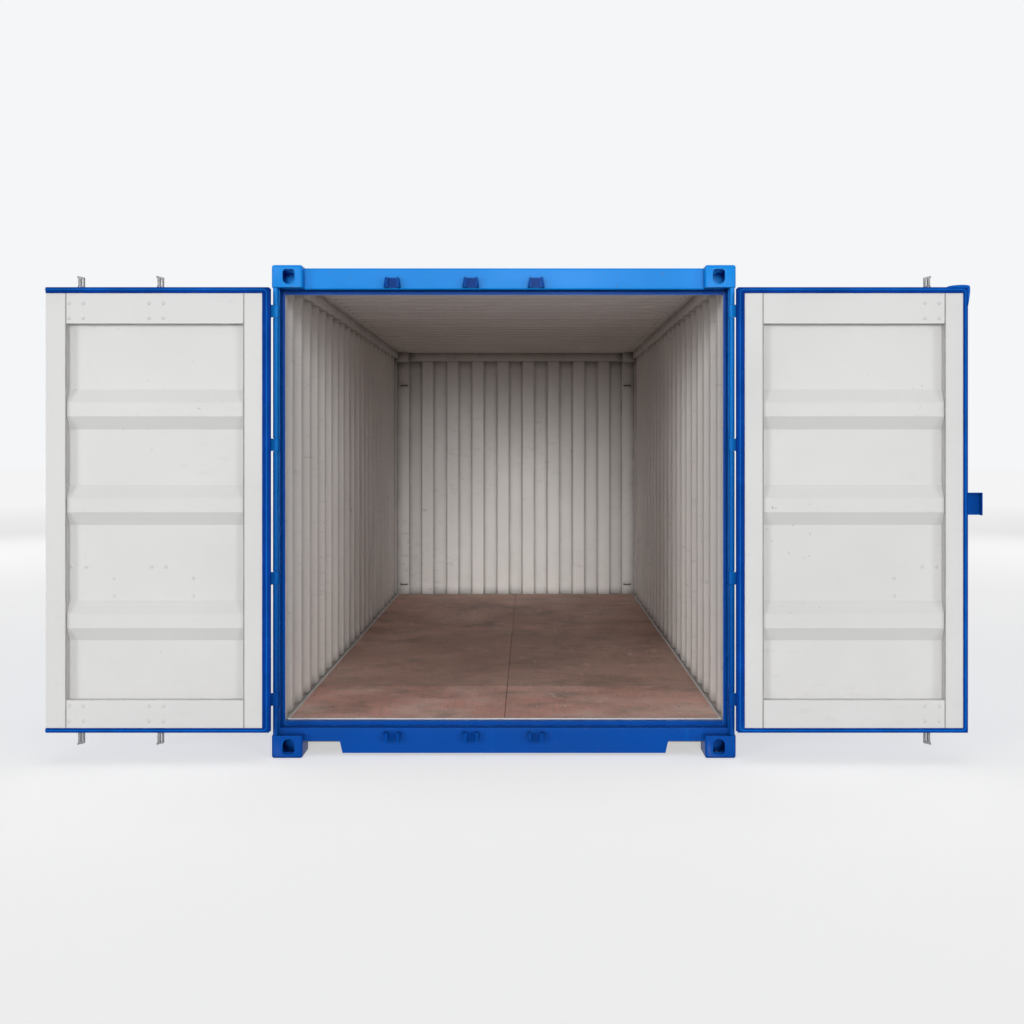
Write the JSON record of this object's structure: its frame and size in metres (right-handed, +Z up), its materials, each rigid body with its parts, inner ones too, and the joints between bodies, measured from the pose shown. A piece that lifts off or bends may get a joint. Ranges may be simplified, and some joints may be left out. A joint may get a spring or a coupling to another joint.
{
  "type": "shipping container",
  "caption": "Twenty foot steel freight container with corrugated walls, plywood floor, corner castings and hinged end doors with lock rods.",
  "frame": {"origin": "on the ground, under the middle of the whole length and width with both doors folded back", "axes": "+X to the right seen from the door end, +Y from the door end to the front end, +Z up"},
  "size_m": [4.879, 6.142, 2.591],
  "materials": {
    "blue_paint": "satin",
    "wall_paint": "satin",
    "door_lining": "satin",
    "gasket_rubber": "matte",
    "plywood": "worn",
    "galvanised_steel": "galvanised",
    "underframe_paint": "matte"
  },
  "bodies": {
    "container": {"rear_top_casting_left": "blue_paint", "rear_bottom_casting_left": "blue_paint", "front_top_casting_left": "blue_paint", "front_bottom_casting_left": "blue_paint", "rear_post_left": "blue_paint", "front_post_left": "blue_paint", "top_side_rail_left": "blue_paint", "bottom_side_rail_left": "blue_paint", "side_wall_left": "wall_paint", "hinge_lugs_left": "blue_paint", "rear_top_casting_right": "blue_paint", "rear_bottom_casting_right": "blue_paint", "front_top_casting_right": "blue_paint", "front_bottom_casting_right": "blue_paint", "rear_post_right": "blue_paint", "front_post_right": "blue_paint", "top_side_rail_right": "blue_paint", "bottom_side_rail_right": "blue_paint", "side_wall_right": "wall_paint", "hinge_lugs_right": "blue_paint", "door_header": "blue_paint", "door_sill": "blue_paint", "front_top_rail": "blue_paint", "front_bottom_rail": "blue_paint", "front_wall": "wall_paint", "roof": "wall_paint", "floor": "plywood", "cross_members": "underframe_paint", "forklift_pockets": "underframe_paint", "header_cam_keepers": "blue_paint", "sill_cam_keepers": "blue_paint"},
    "left_door": {"left_door_stiles": "door_lining", "left_door_rails": "door_lining", "left_door_panel": "door_lining", "left_door_gasket": "gasket_rubber", "left_hinge_blades": "galvanised_steel", "left_rod_guides": "galvanised_steel", "left_handle_retainers": "galvanised_steel"},
    "right_door": {"right_door_stiles": "door_lining", "right_door_rails": "door_lining", "right_door_panel": "door_lining", "right_door_gasket": "gasket_rubber", "right_hinge_blades": "galvanised_steel", "right_rod_guides": "galvanised_steel", "right_handle_retainers": "galvanised_steel", "lock_box": "blue_paint"},
    "left_outer_lock": {"left_outer_lock_rod": "galvanised_steel", "left_outer_handle": "galvanised_steel"},
    "left_inner_lock": {"left_inner_lock_rod": "galvanised_steel", "left_inner_handle": "galvanised_steel"},
    "right_lock": {"right_inner_lock_rod": "galvanised_steel", "right_inner_handle": "galvanised_steel"}
  },
  "joints": [
    {"name": "left_door_hinge", "type": "hinge", "parent": "container", "child": "left_door", "pos_m": [-1.2625, -2.972, 1.2955], "axis": [0, 0, -1], "range_deg": [-180, 85]},
    {"name": "right_door_hinge", "type": "hinge", "parent": "container", "child": "right_door", "pos_m": [1.1315, -2.972, 1.2955], "axis": [0, 0, 1], "range_deg": [-180, 85]},
    {"name": "left_outer_rod_turn", "type": "hinge", "parent": "left_door", "child": "left_outer_lock", "pos_m": [-1.8695, -2.993, 0.904], "axis": [0, 0, -1], "range_deg": [-100, 0]},
    {"name": "left_inner_rod_turn", "type": "hinge", "parent": "left_door", "child": "left_inner_lock", "pos_m": [-2.2845, -2.993, 0.904], "axis": [0, 0, -1], "range_deg": [-100, 0]},
    {"name": "right_rod_turn", "type": "hinge", "parent": "right_door", "child": "right_lock", "pos_m": [2.1585, -2.993, 0.904], "axis": [0, 0, 1], "range_deg": [-100, 0]}
  ]
}
